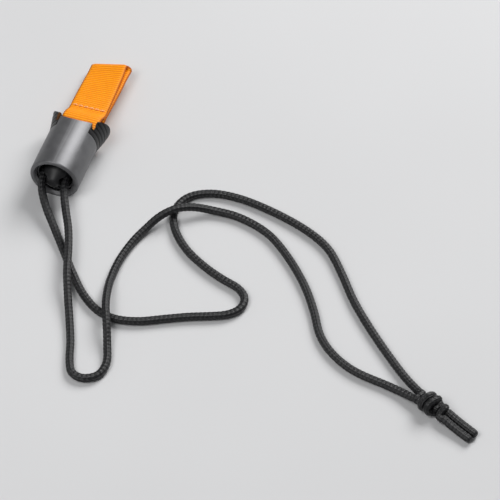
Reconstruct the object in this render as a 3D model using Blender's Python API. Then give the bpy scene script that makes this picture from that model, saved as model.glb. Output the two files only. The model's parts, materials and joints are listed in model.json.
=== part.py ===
"""Pull-to-release cord lock with its webbing tab and the free run of its drawcord.

The lock lies on its back on the plane z = 0, mouth towards -Y, webbing tab towards +Y.
Units are metres. Every dimension below is worked out from a few driving sizes.
"""

import math

import bmesh
import bpy
from mathutils import Matrix, Vector

MM = 0.001
GAP = 0.3 * MM

# Driving sizes
BARREL_RADIUS = 8.8 * MM
BACK_FLAT_DEPTH = 0.8 * MM
MOUTH_Y = -12.5 * MM
BARREL_TOP_Y = 12.0 * MM
CORD_RADIUS = 1.4 * MM
WEBBING_WIDTH = 13.6 * MM
WEBBING_THICKNESS = 1.2 * MM
TAB_LENGTH = 35.0 * MM

# Barrel
AXIS_Z = BARREL_RADIUS - BACK_FLAT_DEPTH
BORE_RADIUS = 7.2 * MM
LIP_RADIUS = 6.7 * MM
LIP_THICKNESS = 1.4 * MM
EDGE_ROUND = 0.7 * MM
SEAM_Y = 6.2 * MM
PANEL_HALF_WIDTH = 5.8 * MM
PANEL_RIM_Y = 8.7 * MM
PANEL_SCOOP_RADIUS = 9.6 * MM

# Moving head, its ears and the cross bar that the webbing wraps
EAR_INNER_X = WEBBING_WIDTH / 2 + GAP
EAR_TIP_Y = 15.0 * MM
EAR_SHOULDER_Y = 9.0 * MM
EAR_HALF_HEIGHT = 7.2 * MM
EAR_TIP_RADIUS = 10.6 * MM
EAR_GROOVES = 4
EAR_GROOVE_PITCH = 1.6 * MM
EAR_GROOVE_DEPTH = 0.5 * MM
EAR_GROOVE_WIDTH = 0.8 * MM
EAR_FIRST_GROOVE = 1.3 * MM
BAR_Y = 12.0 * MM
BAR_RADIUS = 1.5 * MM
BAR_HALF_LENGTH = 8.0 * MM
BEAM_LOW_Y = 6.8 * MM
BEAM_HIGH_Y = 8.6 * MM
BEAM_HALF_HEIGHT = 2.6 * MM

# Cord channels, wedge core and spring
CHANNEL_X = 4.6 * MM
PINCH_X = 4.1 * MM
PINCH_Y = -11.5 * MM
CORE_BACK_Y = -5.0 * MM
CORE_NOSE_Y = -14.5 * MM
CORE_RADIUS = 5.4 * MM
CORE_TEETH = 5
TOOTH_DEPTH = 0.35 * MM
STEM_RADIUS = 1.2 * MM
RETAINER_LOW_Y = 2.4 * MM
RETAINER_THICKNESS = 1.4 * MM
SNAP_RIB_HEIGHT = 0.45 * MM
SNAP_RIB_LOW = RETAINER_LOW_Y + RETAINER_THICKNESS + 0.35 * MM
SNAP_RIB_HIGH = SNAP_RIB_LOW + 0.35 * MM
SNAP_RIB_END = SNAP_RIB_HIGH + 0.4 * MM
SPRING_RADIUS = 2.05 * MM
SPRING_WIRE_RADIUS = 0.28 * MM
SPRING_TURNS = 4.5
SLEEVE_RINGS = 4
SLEEVE_RING_DEPTH = 0.25 * MM
SLEEVE_ENTRY = 1.2 * MM

# Webbing tab at rest
LOOP_BULGE = ((0.28, 1.16), (0.52, 1.08), (0.76, 0.66))
TAB_DROOP = math.radians(6.5)
TAB_TWIST = math.radians(15.0)
TAB_LEAN = -1.0 * MM
TAB_SKEW = 1.3 * MM
TAB_STRAIGHT = 8.0 * MM
LAYER_UP = WEBBING_THICKNESS / 2 + 0.12 * MM
STITCH_ROW = 10.5 * MM
FOLD_RADIUS = 1.05 * MM
FOLD_RUN = 4.0 * MM
THREAD_RADIUS = 0.2 * MM

# Free drawcord, in millimetres: inside the lock, out of the mouth, along the floor.
# A strand that lies on the floor has its centre 1.5 mm above it; where the right strand
# crosses the left one it rises to 4.9 mm.
LEFT_ROUTE = [
    (-4.6, 5.2, 8.0), (-4.6, -4.0, 8.0), (-4.1, -11.5, 8.0), (-3.0, -16.5, 6.9),
    (0.5, -22.0, 4.6), (6.0, -28.5, 2.4), (12.0, -36.0, 1.5), (18.5, -44.5, 1.5),
    (25.0, -52.0, 1.5), (32.0, -57.0, 1.5), (39.0, -58.5, 1.5), (46.5, -57.0, 1.5),
    (54.0, -53.5, 1.5), (61.5, -50.0, 1.5), (68.0, -47.5, 1.5), (73.5, -45.0, 1.5),
    (77.0, -41.2, 1.5), (77.0, -36.5, 1.5), (73.5, -33.0, 1.5), (67.0, -30.8, 1.5),
    (59.5, -27.5, 1.5), (51.5, -22.5, 1.5), (45.0, -15.5, 1.5), (42.0, -8.0, 1.5),
    (44.0, -0.5, 1.5), (51.0, 4.0, 1.5), (61.0, 5.0, 1.5), (73.5, 3.0, 1.5),
    (86.5, -1.0, 1.5), (96.5, -6.5, 1.5), (104.0, -15.0, 1.5), (112.5, -26.5, 1.5),
    (122.3, -37.1, 1.5), (132.6, -47.0, 1.5), (138.9, -52.5, 1.7), (144.2, -56.7, 2.5),
]
RIGHT_ROUTE = [
    (4.6, 5.2, 8.0), (4.6, -4.0, 8.0), (4.1, -11.5, 8.0), (5.2, -16.5, 7.2),
    (8.0, -22.5, 5.9), (11.5, -29.5, 5.1), (14.5, -37.5, 4.9), (17.3, -46.5, 4.6),
    (20.7, -55.0, 2.8), (24.6, -64.0, 1.6), (28.0, -72.3, 1.5), (30.4, -79.6, 1.5),
    (33.0, -84.4, 1.5), (37.4, -85.4, 1.5), (41.6, -82.6, 1.5), (42.5, -77.0, 1.5),
    (40.3, -70.3, 2.0), (37.7, -63.5, 4.2), (35.0, -57.0, 4.9), (33.0, -50.0, 3.9),
    (31.6, -42.5, 1.9), (31.5, -34.0, 1.5), (33.0, -25.0, 1.5), (35.5, -18.5, 2.2),
    (38.7, -13.5, 4.1), (42.8, -9.3, 4.9), (47.8, -5.8, 3.9), (54.5, -3.4, 1.9),
    (64.0, -3.2, 1.5), (75.5, -7.0, 1.5), (85.5, -15.0, 1.5), (94.5, -25.0, 1.5),
    (100.8, -34.5, 1.5), (105.8, -43.5, 1.5), (112.5, -50.0, 1.5), (121.5, -54.5, 1.5),
    (133.0, -56.6, 1.5), (138.2, -57.9, 1.8), (142.9, -59.6, 2.5),
]
SAMPLES_PER_SPAN = 1.2

# Overhand knot that joins both strands, and the two cut ends past it
KNOT_CENTRE = Vector((149.2, -60.7, 3.6)) * MM
KNOT_SIZE = Vector((5.8, 4.2, 3.4)) * MM
KNOT_HEADING = math.radians(-24.0)
TAIL_START = 6.4 * MM
TAIL_LENGTH = 12.2 * MM
TAIL_SPREAD = 1.45 * MM
TAIL_FLOOR_Z = 1.5 * MM
TAIL_DROP = 1.2 * MM

ROUND_STEPS = 56
SMALL_STEPS = 24


# ---------------------------------------------------------------- helpers

def clear_scene():
    """Remove every object that the file holds."""
    for obj in list(bpy.data.objects):
        bpy.data.objects.remove(obj, do_unlink=True)


def material(name, colour, roughness, metallic=0.0):
    """Principled material of one colour."""
    mat = bpy.data.materials.new(name)
    mat.use_nodes = True
    shader = mat.node_tree.nodes["Principled BSDF"]
    shader.inputs["Base Color"].default_value = (*colour, 1.0)
    shader.inputs["Roughness"].default_value = roughness
    shader.inputs["Metallic"].default_value = metallic
    return mat


def add_object(name, data, mat=None, location=(0.0, 0.0, 0.0)):
    """Link a mesh or curve as a named object with its material."""
    obj = bpy.data.objects.new(name, data)
    obj.location = location
    bpy.context.collection.objects.link(obj)
    if mat:
        data.materials.append(mat)
    return obj


def mesh_from(name, bm):
    """Turn a bmesh into a mesh with outward faces, smooth between its sharp edges."""
    bmesh.ops.recalc_face_normals(bm, faces=bm.faces)
    mesh = bpy.data.meshes.new(name)
    bm.to_mesh(mesh)
    bm.free()
    mesh.shade_smooth()
    mesh.set_sharp_from_angle(angle=math.radians(35.0))
    return mesh


def turned(name, outline, steps=ROUND_STEPS):
    """Turn a closed outline of (radius, y) points about the Y axis."""
    bm = bmesh.new()
    verts = [bm.verts.new((radius, y, 0.0)) for radius, y in outline]
    for start, end in zip(verts, verts[1:] + verts[:1]):
        bm.edges.new((start, end))
    bmesh.ops.spin(
        bm, geom=bm.verts[:] + bm.edges[:], cent=(0, 0, 0), axis=(0, 1, 0),
        angle=2 * math.pi, steps=steps, use_merge=True,
    )
    bmesh.ops.remove_doubles(bm, verts=bm.verts, dist=0.0001 * MM)
    return mesh_from(name, bm)


def prism(name, outline, axis, low, high):
    """Extrude a closed outline along "x" or "z" from low to high."""
    bm = bmesh.new()
    for a, b in outline:
        bm.verts.new((low, a, b) if axis == "x" else (a, b, low))
    face = bm.faces.new(bm.verts[:])
    grown = bmesh.ops.extrude_face_region(bm, geom=[face])
    moved = [v for v in grown["geom"] if isinstance(v, bmesh.types.BMVert)]
    travel = Vector((high - low, 0, 0)) if axis == "x" else Vector((0, 0, high - low))
    bmesh.ops.translate(bm, verts=moved, vec=travel)
    return mesh_from(name, bm)


def box(name, low, high):
    """Box between two corners."""
    outline = [(low[0], low[1]), (high[0], low[1]), (high[0], high[1]), (low[0], high[1])]
    return prism(name, outline, "z", low[2], high[2])


def arc(centre, radius, start, end, count):
    """Points on an arc, angles in degrees, both ends included."""
    points = []
    for i in range(count + 1):
        angle = math.radians(start + (end - start) * i / count)
        points.append((centre[0] + radius * math.cos(angle), centre[1] + radius * math.sin(angle)))
    return points


def combine(target, mesh, operation):
    """Join, cut or trim the target with a mesh, and keep only the result."""
    tool = add_object("tool", mesh)
    tool.location = target.location
    modifier = target.modifiers.new("combine", "BOOLEAN")
    modifier.operation = operation
    modifier.solver = "EXACT"
    modifier.object = tool
    bpy.context.view_layer.update()
    graph = bpy.context.evaluated_depsgraph_get()
    result = bpy.data.meshes.new_from_object(target.evaluated_get(graph))
    target.modifiers.clear()
    target.data = result
    bpy.data.objects.remove(tool)


def tidy_shading(obj):
    """Shade the round faces of a combined piece smooth."""
    obj.data.shade_smooth()
    obj.data.set_sharp_from_angle(angle=math.radians(35.0))


def smooth_route(points, samples):
    """Read evenly spread points from a Catmull-Rom curve through the route's points."""
    route = [Vector(p) for p in points]
    route = [2 * route[0] - route[1]] + route + [2 * route[-1] - route[-2]]
    result = []
    for i in range(samples + 1):
        place = i * (len(points) - 1) / samples
        span = min(int(place), len(points) - 2)
        t = place - span
        a, b, c, d = route[span:span + 4]
        point = 2 * b + (c - a) * t
        point += (2 * a - 5 * b + 4 * c - d) * t ** 2
        point += (3 * b - a - 3 * c + d) * t ** 3
        result.append(point / 2)
    return result


def tube(name, points, radius, mat, resolution=2):
    """Round tube along points, as a curve with filled ends."""
    curve = bpy.data.curves.new(name, "CURVE")
    curve.dimensions = "3D"
    curve.bevel_depth = radius
    curve.bevel_resolution = resolution
    curve.use_fill_caps = True
    spline = curve.splines.new("POLY")
    spline.points.add(len(points) - 1)
    for place, point in zip(spline.points, points):
        place.co = (*point, 1.0)
    return add_object(name, curve, mat)


# ---------------------------------------------------------------- barrel group (fixed)

def build_barrel(mat):
    """Outer shell: round mouth with a rolled lip, side cut-outs for the ears, back flat."""
    outline = arc((BARREL_RADIUS - EDGE_ROUND, MOUTH_Y + EDGE_ROUND), EDGE_ROUND, -90, 0, 4)
    outline += arc((BARREL_RADIUS - EDGE_ROUND, BARREL_TOP_Y - EDGE_ROUND), EDGE_ROUND, 0, 90, 4)
    outline += [
        (BORE_RADIUS, BARREL_TOP_Y),
        (BORE_RADIUS, SNAP_RIB_END),
        (BORE_RADIUS - SNAP_RIB_HEIGHT, SNAP_RIB_HIGH),
        (BORE_RADIUS - SNAP_RIB_HEIGHT, SNAP_RIB_LOW),
        (BORE_RADIUS, SNAP_RIB_LOW),
        (BORE_RADIUS, MOUTH_Y + LIP_THICKNESS),
    ]
    outline += arc((LIP_RADIUS + EDGE_ROUND, MOUTH_Y + EDGE_ROUND), EDGE_ROUND, 180, 270, 4)
    barrel = add_object("barrel", turned("barrel", outline), mat, (0, 0, AXIS_Z))

    far = 2 * BARREL_RADIUS
    back = box("back", (-far, -far, -far), (far, far, -AXIS_Z))
    combine(barrel, back, "DIFFERENCE")
    for side in (-1, 1):
        near_x, far_x = sorted((side * PANEL_HALF_WIDTH, side * far))
        window = box("window", (near_x, SEAM_Y, -far), (far_x, far, far))
        combine(barrel, window, "DIFFERENCE")
    scoop = arc((0, PANEL_RIM_Y + PANEL_SCOOP_RADIUS), PANEL_SCOOP_RADIUS, 0, 350, 35)
    combine(barrel, prism("scoop", scoop, "z", -far, far), "DIFFERENCE")
    tidy_shading(barrel)


def build_throat_sleeve(mat):
    """Hard liner: its bore narrows towards the mouth, with shallow rings that grip."""
    low = MOUTH_Y + LIP_THICKNESS + GAP
    high = RETAINER_LOW_Y - GAP
    outer = BORE_RADIUS - GAP
    narrow = PINCH_X + CORD_RADIUS + GAP
    wide = CHANNEL_X + CORD_RADIUS + GAP
    outline = [(outer, low), (outer, high), (wide, high), (wide, CORE_BACK_Y)]
    for i in range(SLEEVE_RINGS):
        share = (i + 0.5) / (SLEEVE_RINGS + 1)
        y = CORE_BACK_Y + share * (low + SLEEVE_ENTRY - CORE_BACK_Y)
        radius = wide + share * (narrow - wide)
        outline += [(radius, y), (radius + SLEEVE_RING_DEPTH, y - SLEEVE_RING_DEPTH)]
    outline += [(narrow, low + 1.0 * MM), (narrow + 0.15 * MM, low + 0.4 * MM), (narrow + 0.6 * MM, low)]
    sleeve = add_object("throat_sleeve", turned("throat_sleeve", outline), mat, (0, 0, AXIS_Z))
    tidy_shading(sleeve)


def build_spring_retainer(mat):
    """Disc that the spring pushes on, with holes for the stem and both strands."""
    high = RETAINER_LOW_Y + RETAINER_THICKNESS
    outer = BORE_RADIUS - GAP
    hole = STEM_RADIUS + GAP
    outline = [(hole, RETAINER_LOW_Y), (outer, RETAINER_LOW_Y), (outer, high), (hole, high)]
    disc = add_object("spring_retainer", turned("spring_retainer", outline), mat, (0, 0, AXIS_Z))
    for side in (-1, 1):
        hole_radius = CORD_RADIUS + GAP
        ring = [(0.0, RETAINER_LOW_Y - MM), (hole_radius, RETAINER_LOW_Y - MM)]
        ring += [(hole_radius, high + MM), (0.0, high + MM)]
        drill = turned("drill", ring, SMALL_STEPS)
        drill.transform(Matrix.Translation((side * CHANNEL_X, 0, 0)))
        combine(disc, drill, "DIFFERENCE")
    tidy_shading(disc)


def build_spring(mat):
    """Compression spring between the core and the retainer."""
    start = CORE_BACK_Y + SPRING_WIRE_RADIUS + GAP
    end = RETAINER_LOW_Y - SPRING_WIRE_RADIUS - GAP
    count = int(SPRING_TURNS * 12)
    points = []
    for i in range(count + 1):
        share = i / count
        angle = 2 * math.pi * SPRING_TURNS * share
        x = SPRING_RADIUS * math.cos(angle)
        z = AXIS_Z + SPRING_RADIUS * math.sin(angle)
        points.append((x, start + share * (end - start), z))
    tube("spring", points, SPRING_WIRE_RADIUS, mat)


# ---------------------------------------------------------------- slider group

def channel_outline(side):
    """Plan of one cord channel in the core: a toothed floor that leans with the wedge."""
    floor_back = CHANNEL_X - CORD_RADIUS - GAP
    floor_pinch = PINCH_X - CORD_RADIUS - GAP
    slope = (floor_back - floor_pinch) / (CORE_BACK_Y - PINCH_Y)
    pitch = (CORE_BACK_Y - PINCH_Y) / CORE_TEETH
    outline = [(2 * CORE_RADIUS, CORE_NOSE_Y - MM)]
    outline.append((floor_pinch + slope * (CORE_NOSE_Y - MM - PINCH_Y), CORE_NOSE_Y - MM))
    for i in range(CORE_TEETH):
        y = PINCH_Y + i * pitch
        x = floor_pinch + slope * (y - PINCH_Y)
        outline += [(x, y), (x - TOOTH_DEPTH, y + 0.2 * pitch)]
    outline.append((floor_back, CORE_BACK_Y))
    outline.append((floor_back, CORE_BACK_Y + MM))
    outline.append((2 * CORE_RADIUS, CORE_BACK_Y + MM))
    return [(side * x, y) for x, y in outline]


def build_wedge_core(mat):
    """Wedge whose toothed channels press both strands on the sleeve, with its stem."""
    stem_end = BEAM_HIGH_Y - 0.9 * MM
    outline = [
        (0.0, CORE_NOSE_Y),
        (1.5 * MM, CORE_NOSE_Y),
        (2.4 * MM, CORE_NOSE_Y + 0.5 * MM),
        (4.2 * MM, PINCH_Y),
        (CORE_RADIUS - 0.5 * MM, PINCH_Y + 2.5 * MM),
        (CORE_RADIUS, CORE_BACK_Y - 0.5 * MM),
        (CORE_RADIUS - 0.5 * MM, CORE_BACK_Y),
        (STEM_RADIUS, CORE_BACK_Y),
        (STEM_RADIUS, stem_end - 0.4 * MM),
        (STEM_RADIUS - 0.4 * MM, stem_end),
        (0.0, stem_end),
    ]
    core = add_object("wedge_core", turned("wedge_core", outline, 40), mat, (0, 0, AXIS_Z))
    half = CORD_RADIUS + GAP
    for side in (-1, 1):
        combine(core, prism("channel", channel_outline(side), "z", -half, half), "DIFFERENCE")
    tidy_shading(core)


def ear_profile():
    """Closed (radius, y) outline of the ear wall: it flares outwards and has grip grooves."""
    low = SEAM_Y + GAP
    outline = [(EAR_INNER_X, low), (BARREL_RADIUS, low)]
    flare = (EAR_TIP_RADIUS - BARREL_RADIUS) / (EAR_TIP_Y - low)
    for i in range(EAR_GROOVES):
        y = low + EAR_FIRST_GROOVE + i * EAR_GROOVE_PITCH
        radius = BARREL_RADIUS + flare * (y - low)
        floor = radius - EAR_GROOVE_DEPTH
        outline += [(radius, y), (floor, y + 0.3 * EAR_GROOVE_WIDTH)]
        outline += [(floor, y + 0.7 * EAR_GROOVE_WIDTH), (radius, y + EAR_GROOVE_WIDTH)]
    outline += [(EAR_TIP_RADIUS, EAR_TIP_Y), (EAR_INNER_X, EAR_TIP_Y)]
    return outline


def ear_side_outline():
    """Side view of the ears, (y, z): straight up to the shoulder, then a half ellipse."""
    low = SEAM_Y
    rise = EAR_TIP_Y - EAR_SHOULDER_Y
    outline = [(low, EAR_HALF_HEIGHT), (low, -EAR_HALF_HEIGHT)]
    for i in range(19):
        angle = math.radians(-90 + 10 * i)
        outline.append((EAR_SHOULDER_Y + rise * math.cos(angle), EAR_HALF_HEIGHT * math.sin(angle)))
    return outline


def build_release_head(mat):
    """Two ribbed ears joined by a beam: the beam takes the stem, the ears take the bar."""
    far = 2 * BARREL_RADIUS
    head = add_object("release_head", turned("release_head", ear_profile()), mat, (0, 0, AXIS_Z))
    side_view = prism("side_view", ear_side_outline(), "x", -far, far)
    combine(head, side_view, "INTERSECT")
    edge = PANEL_HALF_WIDTH + GAP
    middle = box("middle", (-edge, -far, -far), (edge, far, far))
    combine(head, middle, "DIFFERENCE")
    slot = box("slot", (-EAR_INNER_X, BEAM_HIGH_Y, -far), (EAR_INNER_X, far, far))
    combine(head, slot, "DIFFERENCE")
    reach = EAR_INNER_X + 0.8 * MM
    beam_low = (-reach, BEAM_LOW_Y, -BEAM_HALF_HEIGHT)
    beam_high = (reach, BEAM_HIGH_Y, BEAM_HALF_HEIGHT)
    combine(head, box("beam", beam_low, beam_high), "UNION")
    socket_end = BEAM_HIGH_Y - 0.6 * MM
    socket = STEM_RADIUS + GAP
    hole = [(0.0, BEAM_LOW_Y - MM), (socket, BEAM_LOW_Y - MM), (socket, socket_end), (0.0, socket_end)]
    combine(head, turned("socket", hole, SMALL_STEPS), "DIFFERENCE")
    bar_hole = arc((BAR_Y, 0), BAR_RADIUS + GAP, 0, 345, SMALL_STEPS - 1)
    reach = BAR_HALF_LENGTH + GAP
    combine(head, prism("bar_hole", bar_hole, "x", -reach, reach), "DIFFERENCE")
    tidy_shading(head)


def build_webbing_bar(mat):
    """Round cross pin between the ears."""
    section = arc((0, 0), BAR_RADIUS, 0, 345, SMALL_STEPS - 1)
    mesh = prism("webbing_bar", section, "x", -BAR_HALF_LENGTH, BAR_HALF_LENGTH)
    add_object("webbing_bar", mesh, mat, (0, BAR_Y, AXIS_Z))


# ---------------------------------------------------------------- tab group

def webbing_path():
    """Closed centre line (along, up) of the webbing: round the bar, out, folded, and back."""
    wrap = BAR_RADIUS + GAP + WEBBING_THICKNESS / 2
    join = STITCH_ROW - 1.5 * MM
    fold_at = TAB_LENGTH - FOLD_RADIUS
    upper = arc((0, 0), wrap, 180, 75, 7)
    upper += [(join * reach, wrap * height) for reach, height in LOOP_BULGE]
    upper.append((join, LAYER_UP))
    flat_steps = 6
    flat_end = fold_at - FOLD_RUN
    for i in range(1, flat_steps + 1):
        upper.append((join + (flat_end - join) * i / flat_steps, LAYER_UP))
    upper += arc((fold_at, 0), FOLD_RADIUS, 90, 0, 4)
    lower = [(along, -up) for along, up in reversed(upper[1:-1])]
    return upper + lower


def tab_share(along):
    """How far along its bent part a point of the tab lies, from 0 to 1."""
    return max(0.0, (along - TAB_STRAIGHT) / (TAB_LENGTH - TAB_STRAIGHT))


def layer_shift(along, up):
    """Sideways shift of the back layer, which peeks out beside the front one."""
    below = min(1.0, max(0.0, 0.5 - up / (2 * LAYER_UP)))
    return TAB_SKEW * tab_share(along) * below


def at_rest(x, along, up):
    """Place a point of the flat tab where the tab lies at rest: leaning, twisted, drooped."""
    twist = TAB_TWIST * tab_share(along) ** 1.4
    lean = TAB_LEAN * tab_share(along)
    turned_x = x * math.cos(twist) - up * math.sin(twist) + lean
    turned_up = up * math.cos(twist) + x * math.sin(twist)
    y = along * math.cos(TAB_DROOP) + turned_up * math.sin(TAB_DROOP)
    z = turned_up * math.cos(TAB_DROOP) - along * math.sin(TAB_DROOP)
    return Vector((turned_x, y, z))


def build_pull_tab(mat):
    """Loop of flat webbing: one band of rectangular section swept round the closed path."""
    path = webbing_path()
    half_width = WEBBING_WIDTH / 2
    half_thick = WEBBING_THICKNESS / 2
    bm = bmesh.new()
    rings = []
    for i, (along, up) in enumerate(path):
        before = Vector(path[i - 1])
        after = Vector(path[(i + 1) % len(path)])
        run = (after - before).normalized()
        outward = Vector((-run.y, run.x))
        ring = []
        for x, offset in ((-1, -1), (1, -1), (1, 1), (-1, 1)):
            spot = Vector((along, up)) + outward * offset * half_thick
            across = x * half_width + layer_shift(along, up)
            ring.append(bm.verts.new(at_rest(across, spot.x, spot.y)))
        rings.append(ring)
    for ring, following in zip(rings, rings[1:] + rings[:1]):
        for i in range(4):
            j = (i + 1) % 4
            bm.faces.new((ring[i], ring[j], following[j], following[i]))
    add_object("pull_tab", mesh_from("pull_tab", bm), mat, (0, BAR_Y, AXIS_Z))


def build_tab_stitching(mat):
    """Row of thread across the tab that closes the loop round the bar."""
    up = LAYER_UP + WEBBING_THICKNESS / 2 + GAP + THREAD_RADIUS
    reach = WEBBING_WIDTH / 2 - 1.0 * MM
    points = [at_rest(reach * share, STITCH_ROW, up) for share in (-1, -0.5, 0, 0.5, 1)]
    thread = tube("tab_stitching", points, THREAD_RADIUS, mat, 1)
    thread.location = (0, BAR_Y, AXIS_Z)


# ---------------------------------------------------------------- drawcord group

def build_strand(name, route, mat):
    """One strand of the drawcord from inside the lock to the knot."""
    samples = round(SAMPLES_PER_SPAN * (len(route) - 1))
    tube(name, [point * MM for point in smooth_route(route, samples)], CORD_RADIUS, mat)


def build_cord_knot(mat):
    """Outer shape of the overhand knot: an egg that lies on the floor."""
    bm = bmesh.new()
    bmesh.ops.create_icosphere(bm, subdivisions=3, radius=1.0)
    bmesh.ops.scale(bm, vec=KNOT_SIZE, verts=bm.verts)
    knot = add_object("cord_knot", mesh_from("cord_knot", bm), mat, KNOT_CENTRE)
    knot.rotation_euler.z = KNOT_HEADING


def build_tail(name, side, mat):
    """One cut end of the cord past the knot."""
    ahead = Vector((math.cos(KNOT_HEADING), math.sin(KNOT_HEADING), 0))
    across = Vector((-ahead.y, ahead.x, 0)) * side * TAIL_SPREAD
    start = KNOT_CENTRE + ahead * TAIL_START + across
    points = []
    for i in range(6):
        share = i / 5
        point = start + ahead * TAIL_LENGTH * share
        point.z = TAIL_FLOOR_Z + TAIL_DROP * (1 - share) ** 2
        points.append(point)
    tube(name, points, CORD_RADIUS, mat)


# ---------------------------------------------------------------- assembly

def main():
    clear_scene()
    build_barrel(material("barrel", (0.30, 0.30, 0.31), 0.42))
    build_throat_sleeve(material("throat_sleeve", (0.015, 0.015, 0.017), 0.25))
    build_spring_retainer(material("spring_retainer", (0.02, 0.02, 0.022), 0.4))
    build_spring(material("spring", (0.60, 0.60, 0.62), 0.3, 1.0))
    build_wedge_core(material("wedge_core", (0.015, 0.015, 0.017), 0.35))
    build_release_head(material("release_head", (0.06, 0.06, 0.065), 0.45))
    build_webbing_bar(material("webbing_bar", (0.55, 0.55, 0.57), 0.35, 1.0))
    build_pull_tab(material("pull_tab", (1.0, 0.36, 0.02), 0.75))
    build_tab_stitching(material("tab_stitching", (1.0, 0.62, 0.30), 0.7))
    build_strand("drawcord_left", LEFT_ROUTE, material("drawcord_left", (0.02, 0.02, 0.022), 0.7))
    build_strand("drawcord_right", RIGHT_ROUTE, material("drawcord_right", (0.02, 0.02, 0.022), 0.7))
    build_cord_knot(material("cord_knot", (0.02, 0.02, 0.022), 0.7))
    build_tail("cord_tail_left", 1, material("cord_tail_left", (0.02, 0.02, 0.022), 0.7))
    build_tail("cord_tail_right", -1, material("cord_tail_right", (0.02, 0.02, 0.022), 0.7))


main()
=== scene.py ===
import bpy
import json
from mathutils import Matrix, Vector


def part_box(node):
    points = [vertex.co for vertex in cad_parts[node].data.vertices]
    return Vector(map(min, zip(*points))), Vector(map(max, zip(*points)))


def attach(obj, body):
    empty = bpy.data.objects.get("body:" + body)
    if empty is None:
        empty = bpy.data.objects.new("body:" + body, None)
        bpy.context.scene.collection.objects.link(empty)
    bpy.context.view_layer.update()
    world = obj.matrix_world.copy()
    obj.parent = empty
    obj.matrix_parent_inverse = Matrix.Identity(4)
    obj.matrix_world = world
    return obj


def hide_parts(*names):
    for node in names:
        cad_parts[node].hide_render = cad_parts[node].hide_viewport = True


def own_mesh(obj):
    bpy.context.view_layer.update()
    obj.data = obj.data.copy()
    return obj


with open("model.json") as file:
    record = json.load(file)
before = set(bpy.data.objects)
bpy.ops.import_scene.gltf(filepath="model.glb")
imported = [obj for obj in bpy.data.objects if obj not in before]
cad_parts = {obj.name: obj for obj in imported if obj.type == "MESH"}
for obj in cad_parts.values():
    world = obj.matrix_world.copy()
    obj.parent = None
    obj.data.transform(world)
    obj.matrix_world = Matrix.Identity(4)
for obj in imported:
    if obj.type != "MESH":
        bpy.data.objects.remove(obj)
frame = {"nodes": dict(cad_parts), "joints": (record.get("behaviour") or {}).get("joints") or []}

"""Looks of the cord lock: satin barrel, ribbed ears, orange webbing tab and braided drawcord.

The lock lies on its back, mouth towards -Y and tab towards +Y. Units are metres.
"""

import json
import math

import bmesh
import bpy
from mathutils import Vector

MM = 0.001
GAP = 0.3 * MM
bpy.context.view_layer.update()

# Places and sizes read from the frame
BARREL_LOW, BARREL_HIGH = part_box("barrel")
HEAD_LOW, HEAD_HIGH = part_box("release_head")
CORE_LOW, CORE_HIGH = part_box("wedge_core")
SLEEVE_LOW, SLEEVE_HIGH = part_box("throat_sleeve")
RETAINER_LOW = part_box("spring_retainer")[0]
KNOT_LOW, KNOT_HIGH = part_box("cord_knot")
JOINTS = {joint["name"]: joint for joint in frame["joints"]}
BAR = Vector(JOINTS["tab_swing"]["pos_m"])
AXIS = Vector((0, 0, BAR.z))

# Barrel
BARREL_RADIUS = BARREL_HIGH[0]
MOUTH_Y = BARREL_LOW[1]
BARREL_TOP_Y = 12.0 * MM
BORE_RADIUS = SLEEVE_HIGH[0] + GAP
LIP_RADIUS = 6.7 * MM
LIP_THICKNESS = 1.4 * MM
LIP_FLARE_RADIUS = 7.5 * MM
MOUTH_ROUND = 0.6 * MM
LIP_EDGE = 0.1 * MM
LIP_FLARE_DEPTH = 0.9 * MM
BARREL_EDGE_ROUND = 0.28 * MM
SEAM_Y = HEAD_LOW[1] - GAP
PANEL_HALF_WIDTH = 5.8 * MM
PANEL_RIM_Y = 8.7 * MM
PANEL_SCOOP_RADIUS = 9.6 * MM

# Ears
EAR_INNER_X = 7.1 * MM
EAR_TIP_Y = HEAD_HIGH[1]
EAR_TIP_RADIUS = HEAD_HIGH[0]
EAR_SHOULDER_Y = 9.0 * MM
EAR_HALF_HEIGHT = 7.2 * MM
EAR_GROOVES = 4
EAR_GROOVE_PITCH = 1.6 * MM
EAR_GROOVE_DEPTH = 0.5 * MM
EAR_GROOVE_WIDTH = 0.8 * MM
EAR_FIRST_GROOVE = 1.3 * MM
BEAM_LOW_Y = 6.8 * MM
BEAM_HIGH_Y = 8.6 * MM
BEAM_HALF_HEIGHT = 2.6 * MM
BAR_RADIUS = 1.5 * MM
BAR_HALF_LENGTH = 8.0 * MM
EAR_EDGE_ROUND = 0.16 * MM
BEAM_OVERLAP = 0.8 * MM
SOCKET_FLOOR = 0.6 * MM

# Core, sleeve and spring
CORD_RADIUS = 1.4 * MM
CHANNEL_X = 4.6 * MM
PINCH_X = 4.1 * MM
PINCH_Y = -11.5 * MM
CORE_BACK_Y = -5.0 * MM
CORE_RADIUS = 5.4 * MM
CORE_TEETH = 5
TOOTH_DEPTH = 0.35 * MM
STEM_RADIUS = 1.2 * MM
SPRING_RADIUS = 2.05 * MM
SPRING_WIRE_RADIUS = 0.28 * MM
SPRING_TURNS = 4.5
SPRING_STEPS_PER_TURN = 28
SPRING_END_GAP = 0.1 * MM
SPRING_CLOSED_ENDS = 0.07
SLEEVE_RINGS = 4
SLEEVE_RING_DEPTH = 0.25 * MM
SLEEVE_ENTRY = 1.2 * MM
SLEEVE_ROUND = 0.8 * MM
NOSE_ROUND = 1.2 * MM
CORE_EDGE_ROUND = 0.12 * MM

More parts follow.
